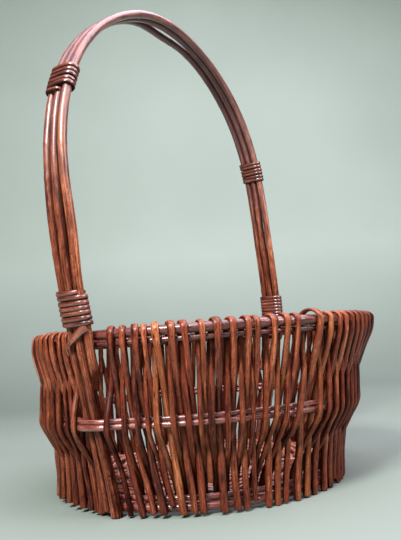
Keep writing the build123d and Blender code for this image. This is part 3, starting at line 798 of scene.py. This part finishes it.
def handle_rod(name, side, ends, seed, tone, warm):
    rng = np.random.default_rng(seed)
    at = np.arange(0, _s[-1], 2.2)
    p, t, n, x = axis_frame(at)
    share = at / _s[-1]
    rad = thickness(side, at)
    free = (1 - held(at)) * np.clip((np.minimum(at, _s[-1] - at) - 150) / 40, 0, 1)
    pitch = thickness(0, at) + thickness(1, at) + 0.06
    spread = side * (pitch + 0.25 * free) + free * wander(rng, len(at), 2.2, 120, 0.30)
    lift = free * wander(rng, len(at), 2.2, 110, 0.55)
    near = share < 0.5
    if side < 0:
        # past the top the left-hand rod hangs away from the other two
        gap = np.exp(-((share - 0.502) / 0.030) ** 2)
        spread -= 1.2 * gap
        lift -= 4.6 * gap
    if side > 0:
        # it stands a little clear of the others above the lower binding
        gap = np.exp(-((p[:, 2] - 228) / 34) ** 2) * near
        spread += 1.5 * gap
        lift -= 0.8 * gap
        # below the near rim it slips inside the wall
        low = np.clip((132.0 - p[:, 2]) / 36.0, 0, 1) * near
        lift -= 1.0 * low * low
        spread -= 1.2 * low
        # and its end is shaved to a slant
        shave = np.clip((122.0 - p[:, 2]) / 19.0, 0, 1) * near
        spread -= 0.42 * rad * shave
        rad = rad * (1 - 0.55 * shave)
    q = p + x * spread[:, None] + n * lift[:, None]
    z = q[:, 2]
    keep = np.ones(len(q), bool)
    top = len(q) // 2
    keep[:top] = z[:top] >= ends[0]
    keep[top:] = z[top:] >= ends[1]
    piece = Piece("bent_" + name, [name], "willow_handle", HANDLE)
    # painted shade: the sides of each rod that face the next rod are darkened, the rods grow darker towards the bottom,
    # and the shaved face of the right rod is painted dark as in shadow
    def painted_shade(ang):
        s1 = np.sin(ang)
        facing = np.abs(s1) if side == 0 else -side * s1
        dark = 0.9 * np.clip((facing - 0.35) / 0.6, 0, 1)[None] ** 1.2 + 0.20 * np.clip((152.0 - q[keep][:, 2:3]) / 40.0, 0, 1)
        if side > 0:
            dark = dark + 0.8 * np.clip(4 * shave[keep], 0, 1)[:, None] * np.clip((s1 + 0.7) / 0.5, 0, 1)[None]
        return np.clip(dark, 0, 0.94)

    piece.add(q[keep], rad[keep], rng, tone, warm, sides=18, knots=1.2, rough=1.0, cut_tone=0.12, across=x[keep], painted_shade=painted_shade)
    piece.build()


handle_rod("handle_rod_left", -1, (9.5, 96.0), 31, -0.02, -0.35)
handle_rod("handle_rod_middle", 0, (FOOT_Z, FOOT_Z), 32, -0.04, -0.2)
handle_rod("handle_rod_right", 1, (103.0, 9.5), 33, 0.05, 0.0)


def wrap(gap, cover, at):
    """Loop round the handle rods named by cover (-1, 0, 1), gap off their surface: (across, outward) by length."""
    mid, out = float(thickness(0, at)), float(thickness(1, at))
    pitch = mid + out + 0.06
    ring = []
    for a in np.radians(np.arange(0, 360, 1.0)):
        d = np.array([math.cos(a), math.sin(a)])
        best = max(cover, key=lambda c: d[0] * c * pitch + (mid if c == 0 else out))
        ring.append(np.array([best * pitch, 0]) + ((mid if best == 0 else out) + gap) * d)
    ring = np.array(ring + ring[:1])
    s = np.concatenate([[0], np.cumsum(np.linalg.norm(np.diff(ring, axis=0), axis=1))])
    q = np.linspace(0, 1, 61)[:-1]
    return np.stack([np.interp(q * s[-1], s, ring[:, i]) for i in range(2)], -1)


def binding(name, start, turns, pitch, rod, seed, tone, two_first=0.65, two_last=0.0, slant=0.0, phase=6):
    """Split willow wound flat round the three handle rods; its first or last turn takes in only two of them."""
    rng = np.random.default_rng(seed)
    thick = 0.64
    mid = start + turns * pitch / 2
    full, two = wrap(rod * thick + 0.25, (-1, 0, 1), mid), wrap(rod * thick + 0.25, (-1, 0), mid)
    per = len(full)
    k = np.arange(int(turns * per) + 1)
    at_ring = (k + phase) % per
    turn = k / per
    mix = np.clip((turn - two_first + 0.25) / 0.3, 0, 1) if two_first > 0 else np.ones(len(k))
    if two_last > 0:
        mix = mix * np.clip((turns - turn - two_last + 0.25) / 0.3, 0, 1)
    mix = mix[:, None]
    wh = two[at_ring] * (1 - mix) + full[at_ring] * mix
    drift = wander(rng, len(k), 1.0, 34.0, 0.22)
    at = start + pitch * turn + drift + slant * wh[:, 0] / 10.0
    p, t, n, x = axis_frame(at)
    q = p + x * wh[:, :1] + n * wh[:, 1:]
    q = smooth(even(q, 1.3), 2)
    m = np.arange(len(q))
    tip = np.clip(np.minimum(m, len(q) - 1 - m) / 7.0, 0, 1)
    way = np.stack([np.interp(np.linspace(0, 1, len(q)), np.linspace(0, 1, len(t)), t[:, i]) for i in range(3)], -1)
    # squeezed thin where it is tucked between two handle rods
    tuck = (1 - mix[:, 0]) * np.clip((wh[:, 0] - 2.6) / 1.4, 0, 1)
    tuck = np.interp(np.linspace(0, 1, len(q)), np.linspace(0, 1, len(tuck)), tuck)
    rad = np.full(len(q), rod) * (0.80 + 0.20 * tip) * (1 + wander(rng, len(q), 1.3, 40.0, 0.05)) * (1 - 0.72 * tuck)
    piece = Piece("wound_" + name, [name], "willow_binding", BINDING)
    # painted shade: the edges of each turn, where it meets the next, are darkened
    piece.add(q, rad, rng, tone, -0.25, sides=14, knots=0.0, rough=0.9, cut_tone=0.3, across=way, thick=thick, wide=1.0,
              painted_shade=lambda ang: 0.94 * np.clip((np.abs(np.sin(ang)) - 0.50) / 0.42, 0, 1))
    piece.build()


binding("handle_binding_near_lower", LOW_N, 7.2, 4.05, 2.0, 41, 0.0, two_first=0.0, two_last=1.0, slant=0.2, phase=45)
binding("handle_binding_near_upper", UP_N, 5.6, 4.5, 2.05, 42, -0.18)
binding("handle_binding_far_upper", UP_F - 25.0, 6.0, 4.1, 2.05, 43, -0.06)
binding("handle_binding_far_lower", LOW_F - 29.0, 7.2, 3.95, 2.05, 44, 0.0)


def tie(name, turn, x_mid, seed):
    """A flat split end lashed slantwise over the handle legs and tucked under the rim."""
    rng = np.random.default_rng(seed)
    rod, thick = 2.35, 0.45
    mid, out = 4.25, 3.6
    front = -(RIM_R + RIM_ROD + 2 * mid + rod * thick + 0.9)
    flank = -(RIM_R + RIM_ROD + mid + out + rod * thick + 0.7)
    xs = mid + 2 * out + rod * thick + 0.2
    ctrl = np.array([
        (xs - 2.4, flank + 0.3, 153.2), (xs - 4.2, flank - 0.9, 152.2), (xs * 0.48, flank - 1.5, 150.6), (xs * 0.26, front - 0.3, 149.0),
        (0.0, front - 0.1, 146.8), (-xs * 0.30, front, 144.0), (-xs * 0.58, flank - 0.4, 141.2), (-xs * 0.78, flank + 0.4, 138.8),
        (-xs * 0.79, flank + 1.5, 135.8), (-xs * 0.72, flank + 2.4, 132.6)])
    a = math.radians(turn)
    rot = np.array([[math.cos(a), -math.sin(a), 0], [math.sin(a), math.cos(a), 0], [0, 0, 1]])
    q = catmull(np.arange(len(ctrl)), ctrl, np.linspace(0, len(ctrl) - 1, 160)) + [x_mid, 0, 0]
    q = smooth(even(skew(q @ rot.T), 1.2), 3)
    # broad side kept off the rods: its way across follows the turn of the path
    t = np.gradient(q, axis=0)
    mid = np.array([x_mid, -158.0, 143.0]) @ rot.T
    out = (q - mid) * [1.0, 1.0, 0.0]
    way = np.cross(t, out)
    piece = Piece("lashed_" + name, [name], "willow_binding", BINDING)
    piece.add(q, rod * np.interp(np.linspace(0, 1, len(q)), [0, 0.3, 0.75, 1], [1.38, 1.2, 0.95, 0.7]), rng, 0.10, -0.2, sides=14, knots=0.0, cut_tone=0.7, across=way, thick=thick, wide=1.05)
    piece.build()


tie("handle_tie_near", 0.0, HANDLE_X - HANDLE_TURN * 163.0, 51)
tie("handle_tie_far", 180.0, -HANDLE_X - HANDLE_TURN * 163.0, 52)

# ------------------------------------------------------------------ floor
FLOOR_AT = skew(np.array([[0.0, 0.0, STICK_Z]]))[0] * [1, 1, 0]


def stick(name, offset, turn, pierced, seed):
    rng = np.random.default_rng(seed)
    a = math.radians(30.0) * (0 if offset == 0 else math.copysign(1, offset))
    reach = 127.6
    if offset == 0:
        ctrl = np.array([(-reach, 0), (-60, 0), (0, 0), (60, 0), (reach, 0)], float)
    else:
        bend = abs(offset) / math.tan(math.radians(30.0))
        ctrl = np.array([(-reach * math.cos(a), reach * math.sin(a)), (-70 * math.cos(a), 70 * math.sin(a)),
                         (-bend - 9, offset + math.copysign(4.2, offset)), (-bend + 4, offset),
                         (0, offset), (bend - 4, offset), (bend + 9, offset + math.copysign(4.2, offset)),
                         (70 * math.cos(a), 70 * math.sin(a)), (reach * math.cos(a), reach * math.sin(a))])
    s = np.concatenate([[0], np.cumsum(np.linalg.norm(np.diff(ctrl, axis=0), axis=1))])
    xy = catmull(s, ctrl, np.linspace(0, s[-1], 160))
    p = np.column_stack([xy, np.full(len(xy), STICK_Z)])
    t = math.radians(turn)
    rot = np.array([[math.cos(t), -math.sin(t), 0], [math.sin(t), math.cos(t), 0], [0, 0, 1]])
    p = even(p @ rot.T + FLOOR_AT, 2.2)
    far = np.linalg.norm(p[:, :2] - FLOOR_AT[:2], axis=1)
    rad = STICK_ROD - (STICK_ROD - 1.1) * np.clip((far - 112.5) / 5, 0, 1) ** 1.0
    piece = Piece("shaved_" + name, [name], "willow_floor", FLOOR)
    if not pierced:
        rad = rad * (1 - 0.06 * np.clip(1 - far / 20, 0, 1))
        piece.add(p, rad, rng, -0.06, 0.0, sides=14, knots=0.6, rough=0.5, cut_tone=0.3)
    else:
        # split at the middle: the two halves spring apart round the sticks pushed through
        near = np.clip(1 - (far - 10.5) / 9.0, 0, 1)
        near = near * near * (3 - 2 * near)
        for way in (1, -1):
            q = p.copy()
            q[:, 2] += way * (3.42 * near + 0.62 * STICK_ROD * (1 - near) * 0.55)
            rr = rad * (0.66 - 0.42 * near)
            rr = np.minimum(rr, STICK_ROD * 0.66)
            thin = np.clip((far - 108) / 8, 0, 1)
            q[:, 2] -= way * 0.62 * STICK_ROD * 0.55 * thin * 0.75
            rr = rr * (1 - 0.45 * thin)
            piece.add(q, rr, rng, -0.04, 0.0, sides=12, knots=0.4, rough=0.4, cut_tone=0.3, oval=1.0)
    piece.build()


for k, off in enumerate((-STICK_PITCH, 0.0, STICK_PITCH)):
    stick(f"base_stick_pierced_{k + 1}", off, 0.0, True, 61 + k)
    stick(f"base_stick_through_{k + 1}", off, 90.0, False, 71 + k)


def weave(name, first_round, last_round, seed):
    """Two thin rods woven out in a spiral, one over where the other goes under."""
    rng = np.random.default_rng(seed)
    gap = (WEAVE_LAST_R - WEAVE_FIRST_R) / (WEAVE_ROUNDS - 1)
    piece = Piece("spun_" + name, [name], "willow_floor", FLOOR)
    turns = (last_round - first_round + 1) / 2.0
    for strand in (0, 1):
        # with an odd count of rounds the first strand runs half a turn on, to the start of the next
        more = 0.5 if strand == 0 and turns % 1 else 0.0
        begin = 180 if strand == 0 and first_round % 2 else 0
        deg = np.arange(begin, 360 * (turns + more) - 6, 1.2 if first_round > 3 else 1.8)
        r = WEAVE_FIRST_R + gap * (first_round - 0.25 + strand + 2.0 * deg / 360.0)
        start = strand * 180.0 * 0 + 15.0
        lift = (STICK_ROD + WEAVE_ROD + 0.15) * np.cos(np.radians((deg + start) * 6.0)) * (1 if strand == 0 else -1)
        lift = np.sign(lift) * np.abs(lift / 4.85) ** 0.8 * 4.85
        p = polar(r, deg + start, STICK_Z + lift) + FLOOR_AT
        p = even(p, 2.2)
        n = len(p)
        p[:, :2] += np.stack([wander(rng, n, 2.2, 30, 0.12) for _ in range(2)], 1)
        rad = WEAVE_ROD * (1.0 - 0.05 * np.linspace(0, 1, n))
        piece.add(p, rad, rng, rng.normal(0, 0.06), rng.uniform(-0.3, 0.35), sides=10, knots=0.4, rough=0.8, cut_tone=0.2)
    piece.build()


weave("floor_weave_inner", 0, 5, 81)
weave("floor_weave_middle", 6, 12, 82)
weave("floor_weave_outer", 13, 19, 83)


# ------------------------------------------------------------------ studio
def plain(name, colour, rough):
    m = bpy.data.materials.new(name)
    m.use_nodes = True
    nt = m.node_tree
    b = nt.nodes["Principled BSDF"]
    tc = nt.nodes.new("ShaderNodeTexCoord")
    no = nt.nodes.new("ShaderNodeTexNoise")
    no.inputs["Scale"].default_value = 2.2
    no.inputs["Detail"].default_value = 3.0
    nt.links.new(tc.outputs["Object"], no.inputs["Vector"])
    rp = nt.nodes.new("ShaderNodeValToRGB")
    e = rp.color_ramp.elements
    e[0].position, e[0].color = 0.3, (*[0.95 * c for c in colour], 1)
    e[1].position, e[1].color = 0.7, (*[min(1, 1.03 * c) for c in colour], 1)
    nt.links.new(no.outputs["Fac"], rp.inputs["Fac"])
    # painted shade: the cloth is darker where it lies flat, its colour scaled from half on the floor to full 45 cm up
    sx = nt.nodes.new("ShaderNodeSeparateXYZ")
    nt.links.new(tc.outputs["Object"], sx.inputs[0])
    mr = nt.nodes.new("ShaderNodeMapRange")
    for key, v in zip(("From Min", "From Max", "To Min", "To Max"), (0.0, 0.45, 0.50, 1.0)):
        mr.inputs[key].default_value = v
    nt.links.new(sx.outputs["Z"], mr.inputs["Value"])
    sc = nt.nodes.new("ShaderNodeVectorMath")
    sc.operation = "SCALE"
    nt.links.new(rp.outputs["Color"], sc.inputs[0])
    nt.links.new(mr.outputs["Result"], sc.inputs["Scale"])
    nt.links.new(sc.outputs["Vector"], b.inputs["Base Color"])
    b.inputs["Roughness"].default_value = rough
    b.inputs["Specular IOR Level"].default_value = 0.2
    return m


def backdrop():
    """A floor that curves up into a wall behind the basket."""
    az = math.radians(32.873)
    away = np.array([-math.sin(az), math.cos(az), 0])
    side = np.array([math.cos(az), math.sin(az), 0])
    prof = [(-2.2, 0.0), (-1.0, 0.0), (0.0, 0.0), (0.9, 0.0)]
    for k in range(1, 13):
        a = math.pi / 2 * k / 12
        prof.append((0.9 + 0.7 * math.sin(a), 0.7 - 0.7 * math.cos(a)))
    prof += [(1.6, 1.6), (1.6, 3.2)]
    verts, faces = [], []
    cols = np.linspace(-3.0, 3.0, 13)
    for u, z in prof:
        for c in cols:
            verts.append(tuple(away * u + side * c + np.array([0, 0, z - 0.0003])))
    w = len(cols)
    for i in range(len(prof) - 1):
        for j in range(w - 1):
            faces.append((i * w + j, i * w + j + 1, (i + 1) * w + j + 1, (i + 1) * w + j))
    me = bpy.data.meshes.new("backdrop")
    me.from_pydata(verts, [], faces)
    for poly in me.polygons:
        poly.use_smooth = True
    me.materials.append(plain("backdrop_cloth", (0.425, 0.525, 0.462), 0.9))
    ob = bpy.data.objects.new("backdrop", me)
    bpy.context.scene.collection.objects.link(ob)


backdrop()


def area(name, at, aim, size, power, colour):
    d = bpy.data.lights.new(name, "AREA")
    d.shape = "RECTANGLE"
    d.size, d.size_y = size
    d.energy = power
    d.color = colour
    ob = bpy.data.objects.new(name, d)
    at, aim = np.array(at, float), np.array(aim, float)
    z = (at - aim) / np.linalg.norm(at - aim)
    x = np.cross([0, 0, 1.0], z)
    x = np.array([1.0, 0, 0]) if np.linalg.norm(x) < 1e-4 else x / np.linalg.norm(x)
    y = np.cross(z, x)
    m = np.eye(4)
    m[:3, 0], m[:3, 1], m[:3, 2], m[:3, 3] = x, y, z, at
    from mathutils import Matrix
    ob.matrix_world = Matrix(m.tolist())
    bpy.context.scene.collection.objects.link(ob)
    return ob


AZ, DIST, CZ, YAW, PITCH, ROLL, FOCAL = math.radians(32.873), 0.60238, 0.13282, -0.0088, math.radians(7.144), math.radians(-4.42), 600.0
centre = OFFSET / 1000.0
cam_dir = np.array([math.sin(AZ), -math.cos(AZ), 0.0])
cam_side = np.array([math.cos(AZ), math.sin(AZ), 0.0])

area("overhead", centre + cam_dir * 0.15 + cam_side * 0.40 + [0, 0, 1.50], centre + [0, 0, 0.15], (2.0, 1.5), 42, (0.97, 0.86, 1.0))
area("key", centre + cam_dir * 1.05 - cam_side * 0.50 + [0, 0, 1.15], centre + [0, 0, 0.10], (0.4, 0.4), 40, (1.0, 0.96, 0.94))
area("side", centre + cam_side * 1.35 + cam_dir * 0.75 + [0, 0, 0.95], centre + [0, 0, 0.10], (0.6, 0.6), 16.0, (1.0, 0.94, 0.95))
area("wall_wash", centre - cam_dir * 0.55 + [0, 0, 1.7], centre - cam_dir * 1.6 + [0, 0, 0.55], (2.4, 0.5), 2.6, (0.97, 1.0, 0.98))

world = bpy.data.worlds.new("studio")
world.use_nodes = True
bg = world.node_tree.nodes["Background"]
bg.inputs["Color"].default_value = (0.80, 0.84, 0.83, 1)
bg.inputs["Strength"].default_value = 0.02
bpy.context.scene.world = world

# ------------------------------------------------------------------ camera
C = centre + np.array([math.sin(AZ) * DIST, -math.cos(AZ) * DIST, CZ])
f0 = np.array([-math.sin(AZ + YAW), math.cos(AZ + YAW), 0.0])
fwd = f0 * math.cos(PITCH) + np.array([0, 0, math.sin(PITCH)])
rt = np.cross(fwd, [0, 0, 1.0])
rt /= np.linalg.norm(rt)
up = np.cross(rt, fwd)
cr = rt * math.cos(ROLL) + up * math.sin(ROLL)
cu = -rt * math.sin(ROLL) + up * math.cos(ROLL)
cam = bpy.data.cameras.new("camera")
cam.sensor_width = 36.0
cam.sensor_fit = "AUTO"
cam.lens = FOCAL / 540.0 * 36.0
cam.clip_start = 0.01
cam_ob = bpy.data.objects.new("camera", cam)
from mathutils import Matrix
mat = np.eye(4)
mat[:3, 0], mat[:3, 1], mat[:3, 2], mat[:3, 3] = cr, cu, -fwd, C
cam_ob.matrix_world = Matrix(mat.tolist())
bpy.context.scene.collection.objects.link(cam_ob)
bpy.context.scene.camera = cam_ob
bpy.context.scene.view_settings.view_transform = "Standard"
bpy.context.scene.view_settings.look = "None"
bpy.context.scene.view_settings.exposure = 0.0

bpy.context.view_layer.update()
